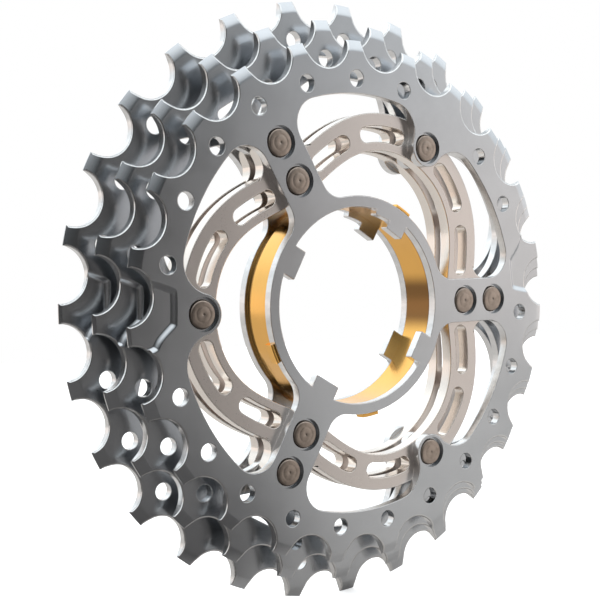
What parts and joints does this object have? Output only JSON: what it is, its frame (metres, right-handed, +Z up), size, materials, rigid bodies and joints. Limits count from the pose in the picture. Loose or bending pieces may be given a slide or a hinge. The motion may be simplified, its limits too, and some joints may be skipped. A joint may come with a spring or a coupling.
{
  "type": "cassette sprocket",
  "caption": "Bicycle cassette cluster: toothed steel plates with arms and shift pockets, riveted through slotted carriers, with a gold spacer ring and a splined bore.",
  "frame": {"origin": "on the wheel axis, in the rear face of the rear (largest) sprocket", "axes": "Y along the wheel axis, the front (smallest) sprocket faces -Y, +Z up, +X to the right seen from the front"},
  "size_m": [0.1111, 0.01, 0.1111],
  "materials": {
    "steel": "satin nickel-plated, the punched edges polished",
    "carrier": "fine matte with polished cut edges",
    "spacer": "gold anodised, satin",
    "rivet": "satin, turned ends"
  },
  "bodies": {
    "root": {"front_sprocket": "steel", "middle_sprocket": "steel", "rear_sprocket": "steel", "front_carrier": "carrier", "rear_carrier": "carrier", "spacer_ring": "spacer", "outer_rivet_1": "rivet", "outer_rivet_2": "rivet", "outer_rivet_3": "rivet", "outer_rivet_4": "rivet", "outer_rivet_5": "rivet", "outer_rivet_6": "rivet", "inner_rivet_1": "rivet", "inner_rivet_2": "rivet", "inner_rivet_3": "rivet"}
  },
  "joints": []
}
